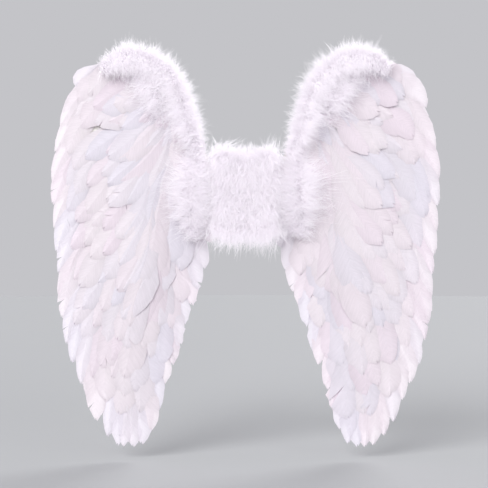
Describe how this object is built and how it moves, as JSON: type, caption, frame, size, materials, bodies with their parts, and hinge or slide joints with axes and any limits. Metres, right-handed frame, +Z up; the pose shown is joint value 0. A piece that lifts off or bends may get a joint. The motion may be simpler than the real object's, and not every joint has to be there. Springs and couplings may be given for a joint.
{
  "type": "costume wings",
  "caption": "White feathered costume wings, folding on fabric hinges from a marabou-covered back panel with two elastic arm loops",
  "frame": {"origin": "the middle of the back pad's face, the one that lies on the wearer's back", "axes": "+Z up as worn, +Y towards the wearer, +X to the wearer's right; the feathered side faces -Y"},
  "size_m": [0.62, 0.1359, 0.6323],
  "materials": {
    "feather": "satin",
    "marabou_down": "matte",
    "felt": "matte",
    "card": "matte",
    "steel_wire": "satin",
    "elastic": "matte"
  },
  "bodies": {
    "harness": {"back_pad": "felt", "back_lining": "felt", "back_card": "card", "right_hinge_tape": "felt", "left_hinge_tape": "felt", "centre_boa_1": "marabou_down", "centre_boa_2": "marabou_down", "centre_boa_3": "marabou_down", "centre_boa_4": "marabou_down", "centre_boa_5": "marabou_down", "right_upper_sewn_end": "elastic", "right_lower_sewn_end": "elastic", "left_upper_sewn_end": "elastic", "left_lower_sewn_end": "elastic"},
    "right_wing": {"right_wing_lining": "felt", "right_wing_card": "card", "right_frame_wire": "steel_wire", "right_wire_sleeve": "steel_wire", "right_wire_casing": "felt", "right_feather_row_1": "feather", "right_feather_row_2": "feather", "right_feather_row_3": "feather", "right_feather_row_4": "feather", "right_feather_row_5": "feather", "right_feather_row_6": "feather", "right_covert_feathers": "feather", "right_edge_boa": "marabou_down", "right_second_boa": "marabou_down", "right_root_boa": "marabou_down"},
    "left_wing": {"left_wing_lining": "felt", "left_wing_card": "card", "left_frame_wire": "steel_wire", "left_wire_sleeve": "steel_wire", "left_wire_casing": "felt", "left_feather_row_1": "feather", "left_feather_row_2": "feather", "left_feather_row_3": "feather", "left_feather_row_4": "feather", "left_feather_row_5": "feather", "left_feather_row_6": "feather", "left_covert_feathers": "feather", "left_edge_boa": "marabou_down", "left_second_boa": "marabou_down", "left_root_boa": "marabou_down"},
    "right_loop": {"right_arm_loop": "elastic"},
    "left_loop": {"left_arm_loop": "elastic"}
  },
  "joints": [
    {"name": "right_wing_fold", "type": "hinge", "parent": "harness", "child": "right_wing", "pos_m": [0.058, -0.0096, 0], "axis": [0, 0, -1], "range_deg": [-10, 75], "deforming": ["right_hinge_tape"]},
    {"name": "left_wing_fold", "type": "hinge", "parent": "harness", "child": "left_wing", "pos_m": [-0.058, -0.0096, 0], "axis": [0, 0, 1], "range_deg": [-10, 75], "deforming": ["left_hinge_tape"]},
    {"name": "right_loop_swing", "type": "hinge", "parent": "harness", "child": "right_loop", "pos_m": [0.032, 0.0072, 0], "axis": [0, 0, -1], "range_deg": [-30, 30]},
    {"name": "left_loop_swing", "type": "hinge", "parent": "harness", "child": "left_loop", "pos_m": [-0.032, 0.0072, 0], "axis": [0, 0, 1], "range_deg": [-30, 30]}
  ]
}
